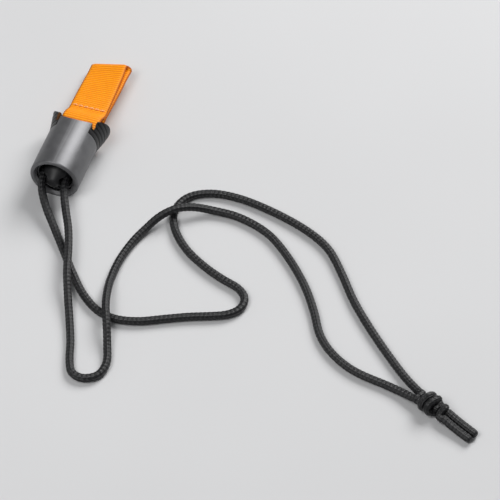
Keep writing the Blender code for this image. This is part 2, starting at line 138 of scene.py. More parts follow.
# Webbing tab
WEBBING_WIDTH = 13.6 * MM
WEBBING_THICKNESS = 1.2 * MM
TAB_LENGTH = 35.0 * MM
LOOP_BULGE = ((0.28, 1.16), (0.52, 1.08), (0.76, 0.66))
TAB_DROOP = math.radians(6.5)
TAB_TWIST = math.radians(15.0)
TAB_LEAN = -1.0 * MM
TAB_SKEW = 1.3 * MM
TAB_STRAIGHT = 8.0 * MM
LAYER_UP = WEBBING_THICKNESS / 2 + 0.12 * MM
STITCH_ROW = 10.5 * MM
STITCHES = 6
STITCH_MARGIN = 0.8 * MM
FOLD_RADIUS = 1.05 * MM
FOLD_RUN = 4.0 * MM
RIB_PITCH = 1.0 * MM
RINGS_PER_RIB = 6
RIB_HEIGHT = 0.07 * MM
SELVEDGE_SHARE = 0.88
SELVEDGE_NOTCH = 0.06 * MM
WARP_PITCH = 0.45 * MM
THREAD_RADIUS = 0.30 * MM

# Drawcord, in millimetres: inside the lock, out of the mouth, along the floor
LEFT_ROUTE = [
    (-4.6, 5.2, 8.0), (-4.6, -4.0, 8.0), (-4.1, -11.5, 8.0), (-3.0, -16.5, 6.9),
    (0.5, -22.0, 4.6), (6.0, -28.5, 2.4), (12.0, -36.0, 1.5), (18.5, -44.5, 1.5),
    (25.0, -52.0, 1.5), (32.0, -57.0, 1.5), (39.0, -58.5, 1.5), (46.5, -57.0, 1.5),
    (54.0, -53.5, 1.5), (61.5, -50.0, 1.5), (68.0, -47.5, 1.5), (73.5, -45.0, 1.5),
    (77.0, -41.2, 1.5), (77.0, -36.5, 1.5), (73.5, -33.0, 1.5), (67.0, -30.8, 1.5),
    (59.5, -27.5, 1.5), (51.5, -22.5, 1.5), (45.0, -15.5, 1.5), (42.0, -8.0, 1.5),
    (44.0, -0.5, 1.5), (51.0, 4.0, 1.5), (61.0, 5.0, 1.5), (73.5, 3.0, 1.5),
    (86.5, -1.0, 1.5), (96.5, -6.5, 1.5), (104.0, -15.0, 1.5), (112.5, -26.5, 1.5),
    (122.3, -37.1, 1.5), (132.6, -47.0, 1.5), (138.9, -52.5, 1.7), (144.2, -56.7, 2.5),
]
RIGHT_ROUTE = [
    (4.6, 5.2, 8.0), (4.6, -4.0, 8.0), (4.1, -11.5, 8.0), (5.2, -16.5, 7.2),
    (8.0, -22.5, 5.9), (11.5, -29.5, 5.1), (14.5, -37.5, 4.9), (17.3, -46.5, 4.6),
    (20.7, -55.0, 2.8), (24.6, -64.0, 1.6), (28.0, -72.3, 1.5), (30.4, -79.6, 1.5),
    (33.0, -84.4, 1.5), (37.4, -85.4, 1.5), (41.6, -82.6, 1.5), (42.5, -77.0, 1.5),
    (40.3, -70.3, 2.0), (37.7, -63.5, 4.2), (35.0, -57.0, 4.9), (33.0, -50.0, 3.9),
    (31.6, -42.5, 1.9), (31.5, -34.0, 1.5), (33.0, -25.0, 1.5), (35.5, -18.5, 2.2),
    (38.7, -13.5, 4.1), (42.8, -9.3, 4.9), (47.8, -5.8, 3.9), (54.5, -3.4, 1.9),
    (64.0, -3.2, 1.5), (75.5, -7.0, 1.5), (85.5, -15.0, 1.5), (94.5, -25.0, 1.5),
    (100.8, -34.5, 1.5), (105.8, -43.5, 1.5), (112.5, -50.0, 1.5), (121.5, -54.5, 1.5),
    (133.0, -56.6, 1.5), (138.2, -57.9, 1.8), (142.9, -59.6, 2.5),
]
SAMPLES_PER_SPAN = 12
ROUTE_SMOOTHING = 6

# Braid: raised diamonds, each read at four sides and four rings
BRAID_DIAMONDS = 10
BRAID_PITCH = 1.5 * MM
BRAID_SIDES = 4 * BRAID_DIAMONDS
BRAID_STEP = BRAID_PITCH / 4
BRAID_RELIEF = 0.10 * MM
TIP_CLOSING = (0.45, 0.78, 0.93)

# Knot and cut ends
KNOT_CENTRE = (Vector(KNOT_LOW) + Vector(KNOT_HIGH)) / 2
KNOT_HEADING = math.radians(-24.0)
KNOT_CORD_RADIUS = 1.3 * MM
KNOT_WRAP_RADIUS = 2.7 * MM
KNOT_PITCH = 4.9 * MM
KNOT_TURNS = 1.5
KNOT_TIGHTNESS = 0.80
KNOT_SLANT = 0.42
KNOT_ENTRY_SPREAD = 3.3 * MM
TAIL_START = 6.4 * MM
TAIL_LENGTH = 12.2 * MM
TAIL_SPREAD = 1.45 * MM
TAIL_FLOOR_Z = 1.5 * MM
TAIL_DROP = 1.2 * MM

ROUND_STEPS = 128
SMALL_STEPS = 32

# A wave texture of this scale has one band to each unit
WAVE_BAND = math.pi / 10
YARNS_PER_DIAMOND = 3.0
HALF_WIDTH_MM = WEBBING_WIDTH / MM / 2


# ---------------------------------------------------------------- node helpers

def node(tree, kind, inputs=None, **settings):
    """Add a shader node, set its own settings, and fill or link its inputs."""
    made = tree.nodes.new("ShaderNode" + kind)
    for name, value in settings.items():
        setattr(made, name, value)
    for name, value in (inputs or {}).items():
        if isinstance(value, bpy.types.NodeSocket):
            tree.links.new(value, made.inputs[name])
        else:
            made.inputs[name].default_value = value
    return made


def new_material(name):
    """Empty material: its tree and its Principled shader."""
    mat = bpy.data.materials.new(name)
    mat.use_nodes = True
    return mat, mat.node_tree, mat.node_tree.nodes["Principled BSDF"]


def ramp(tree, factor, stops):
    """Colour ramp through (position, colour) stops."""
    made = node(tree, "ValToRGB", {"Fac": factor})
    elements = made.color_ramp.elements
    while len(elements) < len(stops):
        elements.new(0.5)
    for element, (position, colour) in zip(elements, stops):
        element.position = position
        element.color = (*colour, 1.0)
    return made.outputs["Color"]


def math_node(tree, operation, first, second=0.0):
    """One arithmetic step on sockets or numbers."""
    made = tree.nodes.new("ShaderNodeMath")
    made.operation = operation
    for place, value in enumerate((first, second)):
        if isinstance(value, bpy.types.NodeSocket):
            tree.links.new(value, made.inputs[place])
        else:
            made.inputs[place].default_value = value
    return made.outputs["Value"]


def scale_range(tree, value, low, high):
    """Map 0..1 to low..high."""
    made = node(tree, "MapRange", {"Value": value, "To Min": low, "To Max": high})
    return made.outputs["Result"]


def bands(tree, vector, direction, per_unit, phase):
    """Smooth bands across the direction, so many to a unit of the vector."""
    made = node(tree, "TexWave", {"Vector": vector}, bands_direction=direction)
    made.inputs["Scale"].default_value = per_unit * WAVE_BAND
    made.inputs["Phase Offset"].default_value = phase
    return made.outputs["Fac"]


# ---------------------------------------------------------------- materials

def moulded_plastic(name, dark, light, roughness, grain, metallic=0.0):
    """Moulded plastic: cloudy colour, fine spark-eroded grain, and paler worn edges.

    A metallic share stands for the flake pigment of satin plastic.
    """
    mat, tree, shader = new_material(name)
    place = node(tree, "TexCoord").outputs["Object"]
    clouds = node(tree, "TexNoise", {"Vector": place, "Scale": 260.0, "Detail": 4.0})
    fine = node(tree, "TexNoise", {"Vector": place, "Scale": 3600.0, "Detail": 3.0})
    colour = ramp(tree, clouds.outputs["Fac"], [(0.35, dark), (0.65, light)])
    worn = [min(1.0, 1.5 * c + 0.02) for c in light]
    edge = node(tree, "NewGeometry").outputs["Pointiness"]
    wear = node(tree, "MapRange", {"Value": edge, "From Min": 0.52, "From Max": 0.62, "To Max": 0.35})
    mixed = node(tree, "Mix", {"Factor": wear.outputs["Result"]}, data_type="RGBA")
    tree.links.new(colour, mixed.inputs["A"])
    mixed.inputs["B"].default_value = (*worn, 1.0)
    tree.links.new(mixed.outputs["Result"], shader.inputs["Base Color"])
    rough = scale_range(tree, clouds.outputs["Fac"], roughness - 0.05, roughness + 0.06)
    tree.links.new(rough, shader.inputs["Roughness"])
    bump = node(tree, "Bump", {"Height": fine.outputs["Fac"], "Strength": grain, "Distance": 0.00004})
    tree.links.new(bump.outputs["Normal"], shader.inputs["Normal"])
    shader.inputs["Metallic"].default_value = metallic
    return mat


def drawn_steel(name):
    """Drawn steel wire: fine lines along it and slight darkening."""
    mat, tree, shader = new_material(name)
    place = node(tree, "TexCoord").outputs["Object"]
    lines = node(tree, "TexNoise", {"Vector": place, "Scale": 1500.0, "Detail": 5.0})
    stops = [(0.3, (0.35, 0.35, 0.37)), (0.7, (0.62, 0.62, 0.64))]
    tree.links.new(ramp(tree, lines.outputs["Fac"], stops), shader.inputs["Base Color"])
    tree.links.new(scale_range(tree, lines.outputs["Fac"], 0.22, 0.42), shader.inputs["Roughness"])
    shader.inputs["Metallic"].default_value = 1.0
    bump = node(tree, "Bump", {"Height": lines.outputs["Fac"], "Strength": 0.15, "Distance": 0.00003})
    tree.links.new(bump.outputs["Normal"], shader.inputs["Normal"])
    return mat


def woven_webbing(name):
    """Orange webbing: weft ribs and warp yarns along it, bumped so the valleys sink; the colour paints a
    highlight on the crowns, shade in the valleys and shade along both selvedges.
    """
    mat, tree, shader = new_material(name)
    uv = node(tree, "TexCoord").outputs["UV"]
    ribs = bands(tree, uv, "Y", MM / RIB_PITCH, math.pi)
    yarns = bands(tree, uv, "X", MM / WARP_PITCH, 0.0)
    clouds = node(tree, "TexNoise", {"Vector": uv, "Scale": 0.3, "Detail": 3.0})
    fuzz = node(tree, "TexNoise", {"Vector": uv, "Scale": 4.0, "Detail": 4.0})
    weave = math_node(tree, "MULTIPLY", ribs, scale_range(tree, yarns, 0.6, 1.0))
    height = math_node(tree, "ADD", weave, math_node(tree, "MULTIPLY", fuzz.outputs["Fac"], 0.5))
    shade = math_node(tree, "MULTIPLY", height, scale_range(tree, clouds.outputs["Fac"], 0.55, 0.95))
    # The ramp over rib and yarn height is painted light: a highlight on the crowns and shade in the
    # valleys; the cloud noise adds random tone.
    stops = [(0.1, (0.74, 0.17, 0.001)), (0.5, (0.95, 0.30, 0.001)), (0.95, (1.0, 0.42, 0.004))]
    across = node(tree, "SeparateXYZ", {"Vector": uv}).outputs["X"]
    from_middle = math_node(tree, "ABSOLUTE", math_node(tree, "SUBTRACT", across, HALF_WIDTH_MM))
    selvedge = node(tree, "MapRange", {
        "Value": from_middle, "To Max": 0.8,
        "From Min": HALF_WIDTH_MM - 0.45, "From Max": HALF_WIDTH_MM - 0.1,
    })
    # Darker red along both selvedges: painted shade where the front and back layers of the tab meet.
    selvedge_shade = node(tree, "Mix", {"Factor": selvedge.outputs["Result"]}, data_type="RGBA")
    tree.links.new(ramp(tree, shade, stops), selvedge_shade.inputs["A"])
    selvedge_shade.inputs["B"].default_value = (0.42, 0.07, 0.002, 1.0)
    tree.links.new(selvedge_shade.outputs["Result"], shader.inputs["Base Color"])
    bump = node(tree, "Bump", {"Height": height, "Strength": 0.6, "Distance": 0.00012})
    tree.links.new(bump.outputs["Normal"], shader.inputs["Normal"])
    shader.inputs["Roughness"].default_value = 0.55
    shader.inputs["Specular IOR Level"].default_value = 0.25
    shader.inputs["Sheen Weight"].default_value = 0.06
    shader.inputs["Sheen Roughness"].default_value = 0.4
    shader.inputs["Sheen Tint"].default_value = (1.0, 0.6, 0.1, 1.0)
    return mat


def twisted_thread(name, dark, light):
    """Sewing thread: plies that wind round it, with painted shade between the plies and a painted pale
    highlight on them.
    """
    mat, tree, shader = new_material(name)
    place = node(tree, "TexCoord").outputs["Object"]
    settings = {"Vector": place, "Scale": 900.0, "Distortion": 1.5}
    plies = node(tree, "TexWave", settings, bands_direction="DIAGONAL")
    # The ramp paints shade between the plies and a highlight on them; the pale end stands in for the
    # orange thread's highlight.
    colour = ramp(tree, plies.outputs["Fac"], [(0.2, dark), (0.8, light)])
    tree.links.new(colour, shader.inputs["Base Color"])
    bump = node(tree, "Bump", {"Height": plies.outputs["Fac"], "Strength": 0.5, "Distance": 0.00005})
    tree.links.new(bump.outputs["Normal"], shader.inputs["Normal"])
    shader.inputs["Roughness"].default_value = 0.55
    shader.inputs["Sheen Weight"].default_value = 0.3
    return mat


def braided_cord(name):
    """Black braid: diamonds of slanted yarns, with painted grey glints on their crowns and painted shade
    between them.
    """
    mat, tree, shader = new_material(name)
    uv = node(tree, "TexCoord").outputs["UV"]
    around = bands(tree, uv, "X", 1.0, math.pi)
    along = bands(tree, uv, "Y", 1.0, math.pi)
    crowns = math_node(tree, "MULTIPLY", math_node(tree, "ADD", around, along), 0.5)
    slant = node(tree, "Mapping", {"Vector": uv, "Rotation": (0, 0, math.radians(45))})
    yarns = bands(tree, slant.outputs["Vector"], "X", YARNS_PER_DIAMOND, 0.0)
    fuzz = node(tree, "TexNoise", {"Vector": uv, "Scale": 1.5, "Detail": 3.0})
    height = math_node(tree, "ADD", crowns, math_node(tree, "MULTIPLY", yarns, 0.35))
    shade = math_node(tree, "MULTIPLY", height, scale_range(tree, fuzz.outputs["Fac"], 0.4, 1.0))
    # Ramp over crown height: painted grey glints on the diamond crowns, painted shade in the hollows
    # between yarns.
    stops = [(0.2, (0.002, 0.002, 0.0025)), (0.6, (0.006, 0.006, 0.007)), (0.95, (0.035, 0.035, 0.038))]
    tree.links.new(ramp(tree, shade, stops), shader.inputs["Base Color"])
    tree.links.new(scale_range(tree, fuzz.outputs["Fac"], 0.32, 0.55), shader.inputs["Roughness"])
    bump = node(tree, "Bump", {"Height": height, "Strength": 0.8, "Distance": 0.00012})
    tree.links.new(bump.outputs["Normal"], shader.inputs["Normal"])
    shader.inputs["Specular IOR Level"].default_value = 0.45
    return mat


# ---------------------------------------------------------------- mesh helpers

def add_object(name, data, mat, location=(0.0, 0.0, 0.0)):
    """Link a mesh or curve as a named object with its material."""
    obj = bpy.data.objects.new(name, data)
    obj.location = location
    bpy.context.scene.collection.objects.link(obj)
    if mat:
        data.materials.append(mat)
    return obj


def mesh_from(name, bm):
    """Turn a bmesh into a mesh with outward faces."""
    bmesh.ops.recalc_face_normals(bm, faces=bm.faces)
    mesh = bpy.data.meshes.new(name)
    bm.to_mesh(mesh)
    bm.free()
    return mesh


def shade(obj, angle=35.0):
    """Shade smooth between edges sharper than the angle."""
    obj.data.shade_smooth()
    obj.data.set_sharp_from_angle(angle=math.radians(angle))


def turned(name, outline, steps=ROUND_STEPS):
    """Turn a closed outline of (radius, y) points about the Y axis."""
    bm = bmesh.new()
    verts = [bm.verts.new((radius, y, 0.0)) for radius, y in outline]
    for start, end in zip(verts, verts[1:] + verts[:1]):
        bm.edges.new((start, end))
    bmesh.ops.spin(
        bm, geom=bm.verts[:] + bm.edges[:], cent=(0, 0, 0), axis=(0, 1, 0),
        angle=2 * math.pi, steps=steps, use_merge=True,
    )
    bmesh.ops.remove_doubles(bm, verts=bm.verts, dist=0.0001 * MM)
    return mesh_from(name, bm)


def prism(name, outline, axis, low, high):
    """Extrude a closed outline along "x" or "z" from low to high."""
    bm = bmesh.new()
    for a, b in outline:
        bm.verts.new((low, a, b) if axis == "x" else (a, b, low))
    face = bm.faces.new(bm.verts[:])
    grown = bmesh.ops.extrude_face_region(bm, geom=[face])
    moved = [v for v in grown["geom"] if isinstance(v, bmesh.types.BMVert)]
    travel = Vector((high - low, 0, 0)) if axis == "x" else Vector((0, 0, high - low))
    bmesh.ops.translate(bm, verts=moved, vec=travel)
    return mesh_from(name, bm)


def box(name, low, high):
    """Box between two corners."""
    outline = [(low[0], low[1]), (high[0], low[1]), (high[0], high[1]), (low[0], high[1])]
    return prism(name, outline, "z", low[2], high[2])


def arc(centre, radius, start, end, count):
    """Points on an arc, angles in degrees, both ends included."""
    points = []
    for i in range(count + 1):
        angle = math.radians(start + (end - start) * i / count)
        points.append((centre[0] + radius * math.cos(angle), centre[1] + radius * math.sin(angle)))
    return points


def keep_result(obj):
    """Replace the object's mesh by what its modifiers make of it."""
    bpy.context.view_layer.update()
    graph = bpy.context.evaluated_depsgraph_get()
    result = bpy.data.meshes.new_from_object(obj.evaluated_get(graph))
    obj.modifiers.clear()
    obj.data = result


def combine(target, mesh, operation):
    """Join, cut or trim the target with a mesh, and keep only the result."""
    tool = add_object("tool", mesh, None, target.location)
    modifier = target.modifiers.new("combine", "BOOLEAN")
    modifier.operation = operation
    modifier.solver = "EXACT"
    modifier.object = tool
    keep_result(target)
    bpy.data.objects.remove(tool)


def round_edges(obj, width, segments=3):
    """Round the sharp edges of a moulded piece."""
    modifier = obj.modifiers.new("round", "BEVEL")
    modifier.width = width
    modifier.segments = segments
    modifier.limit_method = "ANGLE"
    modifier.angle_limit = math.radians(38)
    modifier.use_clamp_overlap = True
    keep_result(obj)
    shade(obj, 50.0)


def place_piece(obj, body, slot, *nodes):
    """Hang a piece on its body, and let it stand for its CAD nodes."""
    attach(obj, body)
    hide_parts(*nodes)
    return obj


# ---------------------------------------------------------------- housing

def make_barrel(mat):
    """Satin shell with a rolled mouth lip, windows for the ears and scooped panel rims."""
    outline = arc((BARREL_RADIUS - MOUTH_ROUND, MOUTH_Y + MOUTH_ROUND), MOUTH_ROUND, -90, 0, 8)
    outline += [(BARREL_RADIUS, BARREL_TOP_Y), (BORE_RADIUS, BARREL_TOP_Y)]
    outline += [(BORE_RADIUS, MOUTH_Y + LIP_THICKNESS), (LIP_RADIUS, MOUTH_Y + LIP_THICKNESS)]
    outline += [(LIP_RADIUS, MOUTH_Y + LIP_FLARE_DEPTH), (LIP_FLARE_RADIUS - LIP_EDGE, MOUTH_Y + LIP_EDGE)]
    outline.append((LIP_FLARE_RADIUS, MOUTH_Y))
    barrel = add_object("barrel_shell", turned("barrel_shell", outline), mat, AXIS)
    far = 2 * BARREL_RADIUS
    combine(barrel, box("back", (-far, -far, -far), (far, far, -AXIS.z)), "DIFFERENCE")
    for side in (-1, 1):
        near_x, far_x = sorted((side * PANEL_HALF_WIDTH, side * far))
        combine(barrel, box("window", (near_x, SEAM_Y, -far), (far_x, far, far)), "DIFFERENCE")
    scoop = arc((0, PANEL_RIM_Y + PANEL_SCOOP_RADIUS), PANEL_SCOOP_RADIUS, 0, 355, 71)
    combine(barrel, prism("scoop", scoop, "z", -far, far), "DIFFERENCE")
    round_edges(barrel, BARREL_EDGE_ROUND)
    return place_piece(barrel, "housing", "barrel_plastic", "barrel")


def make_throat_sleeve(mat):
    """Glossy liner with a rounded edge; its near-black colour is partly its own and partly painted shade,
    the shadow that shows as a dark ring inside the mouth.
    """
    low = SLEEVE_LOW[1]
    high = SLEEVE_HIGH[1]
    outer = SLEEVE_HIGH[0]
    narrow = PINCH_X + CORD_RADIUS + GAP
    wide = CHANNEL_X + CORD_RADIUS + GAP
    outline = [(outer, low), (outer, high), (wide, high), (wide, CORE_BACK_Y)]
    for i in range(SLEEVE_RINGS):
        share = (i + 0.5) / (SLEEVE_RINGS + 1)
        y = CORE_BACK_Y + share * (low + SLEEVE_ENTRY - CORE_BACK_Y)
        radius = wide + share * (narrow - wide)
        outline += [(radius, y), (radius + SLEEVE_RING_DEPTH, y - SLEEVE_RING_DEPTH)]
    outline += arc((narrow + SLEEVE_ROUND, low + SLEEVE_ROUND), SLEEVE_ROUND, 180, 270, 8)
    sleeve = add_object("throat_liner", turned("throat_liner", outline), mat, AXIS)
    shade(sleeve)
    return place_piece(sleeve, "housing", "sleeve_plastic", "throat_sleeve")


def make_spring(mat):
    """Compression spring with closed end coils."""
    start = CORE_BACK_Y + SPRING_WIRE_RADIUS + SPRING_END_GAP
    end = RETAINER_LOW[1] - SPRING_WIRE_RADIUS - SPRING_END_GAP
    count = int(SPRING_TURNS * SPRING_STEPS_PER_TURN)
    points = []
    for i in range(count + 1):
        share = i / count
        angle = 2 * math.pi * SPRING_TURNS * share
        rise = share - SPRING_CLOSED_ENDS * math.sin(2 * math.pi * share)
        x = SPRING_RADIUS * math.cos(angle)
        z = AXIS.z + SPRING_RADIUS * math.sin(angle)
        points.append(Vector((x, start + rise * (end - start), z)))
    spring = add_object("coil_spring", round_tube("coil_spring", points, SPRING_WIRE_RADIUS, 10), mat)
    place_piece(spring, "housing", "spring_steel", "spring")
    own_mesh(spring)
    return spring


# ---------------------------------------------------------------- release slider

def channel_outline(side):
    """Plan of one cord channel in the core: a toothed floor that leans with the wedge."""
    nose = CORE_LOW[1] - MM
    floor_back = CHANNEL_X - CORD_RADIUS - GAP
    floor_pinch = PINCH_X - CORD_RADIUS - GAP
    slope = (floor_back - floor_pinch) / (CORE_BACK_Y - PINCH_Y)
    pitch = (CORE_BACK_Y - PINCH_Y) / CORE_TEETH
    outline = [(2 * CORE_RADIUS, nose), (floor_pinch + slope * (nose - PINCH_Y), nose)]
    for i in range(CORE_TEETH):
        y = PINCH_Y + i * pitch
        x = floor_pinch + slope * (y - PINCH_Y)
        outline += [(x, y), (x - TOOTH_DEPTH, y + 0.2 * pitch)]
    outline += [(floor_back, CORE_BACK_Y), (floor_back, CORE_BACK_Y + MM)]
    outline.append((2 * CORE_RADIUS, CORE_BACK_Y + MM))
    return [(side * x, y) for x, y in outline]


def make_wedge_core(mat):
    """Black wedge with two toothed cord channels; its rounded nose shows in the mouth."""
    nose = CORE_LOW[1]
    stem_end = CORE_HIGH[1]
    outline = [(0.0, nose)]
    outline += arc((NOSE_ROUND, nose + NOSE_ROUND), NOSE_ROUND, -80, -20, 4)
    outline += [
        (4.2 * MM, PINCH_Y),
        (CORE_RADIUS - 0.5 * MM, PINCH_Y + 2.5 * MM),
        (CORE_RADIUS, CORE_BACK_Y - 0.5 * MM),
        (CORE_RADIUS - 0.5 * MM, CORE_BACK_Y),
        (STEM_RADIUS, CORE_BACK_Y),
        (STEM_RADIUS, stem_end - 0.4 * MM),
        (STEM_RADIUS - 0.4 * MM, stem_end),
        (0.0, stem_end),
    ]
    core = add_object("toothed_core", turned("toothed_core", outline, 64), mat, AXIS)
    half = CORD_RADIUS + GAP
    for side in (-1, 1):
        combine(core, prism("channel", channel_outline(side), "z", -half, half), "DIFFERENCE")
    round_edges(core, CORE_EDGE_ROUND, 2)
    return place_piece(core, "release_slider", "core_plastic", "wedge_core")


def ear_profile():
    """Closed (radius, y) outline of the ear wall: it flares outwards and has grip grooves."""
    low = HEAD_LOW[1]
    outline = [(EAR_INNER_X, low), (BARREL_RADIUS, low)]
    flare = (EAR_TIP_RADIUS - BARREL_RADIUS) / (EAR_TIP_Y - low)
    for i in range(EAR_GROOVES):
        y = low + EAR_FIRST_GROOVE + i * EAR_GROOVE_PITCH
        radius = BARREL_RADIUS + flare * (y - low)
        floor = radius - EAR_GROOVE_DEPTH
        outline += [(radius, y), (floor, y + 0.3 * EAR_GROOVE_WIDTH)]
        outline += [(floor, y + 0.7 * EAR_GROOVE_WIDTH), (radius, y + EAR_GROOVE_WIDTH)]
    outline += [(EAR_TIP_RADIUS, EAR_TIP_Y), (EAR_INNER_X, EAR_TIP_Y)]
    return outline


def ear_side_outline():
    """Side view of the ears, (y, z): straight up to the shoulder, then a half ellipse."""
    rise = EAR_TIP_Y - EAR_SHOULDER_Y
    outline = [(SEAM_Y, EAR_HALF_HEIGHT), (SEAM_Y, -EAR_HALF_HEIGHT)]
    for i in range(37):
        angle = math.radians(-90 + 5 * i)
        outline.append((EAR_SHOULDER_Y + rise * math.cos(angle), EAR_HALF_HEIGHT * math.sin(angle)))
    return outline


def make_release_head(mat):
    """Two ribbed ears joined by a beam."""
    far = 2 * BARREL_RADIUS
    head = add_object("ribbed_ears", turned("ribbed_ears", ear_profile()), mat, AXIS)
    combine(head, prism("side_view", ear_side_outline(), "x", -far, far), "INTERSECT")
    edge = PANEL_HALF_WIDTH + GAP
    combine(head, box("middle", (-edge, -far, -far), (edge, far, far)), "DIFFERENCE")
    slot = box("slot", (-EAR_INNER_X, BEAM_HIGH_Y, -far), (EAR_INNER_X, far, far))
    combine(head, slot, "DIFFERENCE")
    reach = EAR_INNER_X + BEAM_OVERLAP
    beam = box("beam", (-reach, BEAM_LOW_Y, -BEAM_HALF_HEIGHT), (reach, BEAM_HIGH_Y, BEAM_HALF_HEIGHT))
    combine(head, beam, "UNION")
    socket_end = BEAM_HIGH_Y - SOCKET_FLOOR
    socket = STEM_RADIUS + GAP
    hole = [(0.0, BEAM_LOW_Y - MM), (socket, BEAM_LOW_Y - MM), (socket, socket_end), (0.0, socket_end)]
    combine(head, turned("socket", hole, SMALL_STEPS), "DIFFERENCE")
    bar_hole = arc((BAR.y, 0), BAR_RADIUS + GAP, 0, 345, 23)
    reach = BAR_HALF_LENGTH + GAP
    combine(head, prism("bar_hole", bar_hole, "x", -reach, reach), "DIFFERENCE")
    round_edges(head, EAR_EDGE_ROUND, 2)
    return place_piece(head, "release_slider", "ear_plastic", "release_head")


# ---------------------------------------------------------------- webbing tab

def webbing_path():
    """Closed centre line (along, up) of the webbing: round the bar, out, folded, and back."""
    wrap = BAR_RADIUS + GAP + WEBBING_THICKNESS / 2
    join = STITCH_ROW - 1.5 * MM
    fold_at = TAB_LENGTH - FOLD_RADIUS
    flat_end = fold_at - FOLD_RUN
    upper = arc((0, 0), wrap, 180, 75, 7)
    upper += [(join * reach, wrap * height) for reach, height in LOOP_BULGE]
    upper.append((join, LAYER_UP))
    flat_steps = 6
    for i in range(1, flat_steps + 1):
        upper.append((join + (flat_end - join) * i / flat_steps, LAYER_UP))
    upper += arc((fold_at, 0), FOLD_RADIUS, 90, 0, 4)
    lower = [(along, -up) for along, up in reversed(upper[1:-1])]
    return upper + lower


def curve_through(points, closed=False):
    """Dense points of a Catmull-Rom curve through the given ones."""
    spots = [Vector(p) for p in points]
    if closed:
        spots = [spots[-1]] + spots + spots[:2]
    else:
        spots = [2 * spots[0] - spots[1]] + spots + [2 * spots[-1] - spots[-2]]
    result = []
    for a, b, c, d in zip(spots, spots[1:], spots[2:], spots[3:]):
        for i in range(SAMPLES_PER_SPAN):
            t = i / SAMPLES_PER_SPAN
            point = 2 * b + (c - a) * t
            point += (2 * a - 5 * b + 4 * c - d) * t ** 2
            point += (3 * b - a - 3 * c + d) * t ** 3
            result.append(point / 2)
    if not closed:
        result.append(spots[-2])
    return result


def evenly(points, spacing, closed=False):
    """Points at an even spacing along a chain, and each one's distance from the start."""
    chain = [Vector(p) for p in points]
    if closed:
        chain.append(chain[0])
    steps = [(b - a).length for a, b in zip(chain, chain[1:])]
    total = sum(steps)
    count = max(2, round(total / spacing))
    result = []
    span = 0
    passed = 0.0
    for i in range(count + (0 if closed else 1)):
        target = total * i / count
        while span < len(steps) - 1 and passed + steps[span] < target:
            passed += steps[span]
            span += 1
        share = (target - passed) / steps[span] if steps[span] else 0.0
        result.append(chain[span].lerp(chain[span + 1], min(1.0, share)))
    return result, total


def tab_share(along):
    """How far along its bent part a point of the tab lies, from 0 to 1."""
    return max(0.0, (along - TAB_STRAIGHT) / (TAB_LENGTH - TAB_STRAIGHT))


def layer_shift(along, up):
    """Sideways shift of the back layer, which peeks out beside the front one."""
    below = min(1.0, max(0.0, 0.5 - up / (2 * LAYER_UP)))
    return TAB_SKEW * tab_share(along) * below


def at_rest(x, along, up):
    """Place a point of the flat tab where the tab lies at rest: leaning, twisted, drooped."""
    twist = TAB_TWIST * tab_share(along) ** 1.4
    lean = TAB_LEAN * tab_share(along)
    turned_x = x * math.cos(twist) - up * math.sin(twist) + lean
    turned_up = up * math.cos(twist) + x * math.sin(twist)
    y = along * math.cos(TAB_DROOP) + turned_up * math.sin(TAB_DROOP)
    z = turned_up * math.cos(TAB_DROOP) - along * math.sin(TAB_DROOP)
    return Vector((turned_x, y, z))


def make_pull_tab(mat):
    """Folded webbing loop with woven ribs and rounded, slightly notched selvedges."""
    path, total = evenly(curve_through(webbing_path(), True), RIB_PITCH / RINGS_PER_RIB, True)
    half_width = WEBBING_WIDTH / 2
    half_thick = WEBBING_THICKNESS / 2
    across = 12
    bm = bmesh.new()
    uv_layer = bm.loops.layers.uv.new("weave")
    rings = []
    for i, spot in enumerate(path):
        run = (path[(i + 1) % len(path)] - path[i - 1]).normalized()
        outward = Vector((-run.y, run.x))
        wave = math.cos(2 * math.pi * i / RINGS_PER_RIB)
        shift = layer_shift(spot.x, spot.y)
        ring = []
        for side in (1, -1):
            for j in range(across + 1):
                x = -side * (1 - 2 * j / across)
                edge = max(0.0, (abs(x) - SELVEDGE_SHARE) / (1 - SELVEDGE_SHARE))
                thick = half_thick * math.sqrt(max(0.0, 1 - 0.75 * edge * edge)) - RIB_HEIGHT
                lift = thick + RIB_HEIGHT * wave * (1 - 0.4 * edge)
                reach = half_width * x - SELVEDGE_NOTCH * edge * wave * math.copysign(1, x)
                point = spot + outward * side * lift
                u = (x + 1) * half_width / MM
                ring.append((bm.verts.new(at_rest(reach + shift, point.x, point.y)), u))
        rings.append(ring)
    size = len(rings[0])
    for i, ring in enumerate(rings):
        following = rings[(i + 1) % len(rings)]
        v = total / MM * i / len(rings)
        step = total / MM / len(rings)
        for j in range(size):
            k = (j + 1) % size
            corners = [ring[j], ring[k], following[k], following[j]]
            face = bm.faces.new([corner[0] for corner in corners])
            face.smooth = True
            for loop, corner, along in zip(face.loops, corners, (v, v, v + step, v + step)):
                loop[uv_layer].uv = (corner[1], along)
    tab = add_object("orange_webbing_loop", mesh_from("orange_webbing_loop", bm), mat, BAR)
    return place_piece(tab, "tab", "orange_webbing", "pull_tab")


def make_stitching(mat):
    """Two rows of lock stitches across the tab, on its front and on its back."""
    bm = bmesh.new()
    pitch = (WEBBING_WIDTH - 2 * STITCH_MARGIN) / STITCHES
    surface = LAYER_UP + WEBBING_THICKNESS / 2
    for side in (1, -1):
        for i in range(STITCHES):
            middle = (i + 0.5 - STITCHES / 2) * pitch
            points = []
            for j in range(7):
                share = j / 6
                x = middle + (share - 0.5) * pitch * 0.66
                up = surface + THREAD_RADIUS * (0.75 * math.sin(math.pi * share) - 0.35)
                slant = 0.12 * MM * (share - 0.5)
                points.append(BAR + at_rest(x, STITCH_ROW + slant, side * up))
            add_tube(bm, points, THREAD_RADIUS, 8)
    thread = add_object("tab_stitches", mesh_from("tab_stitches", bm), mat)
    shade(thread, 60.0)
    return place_piece(thread, "tab", "tab_thread", "tab_stitching")


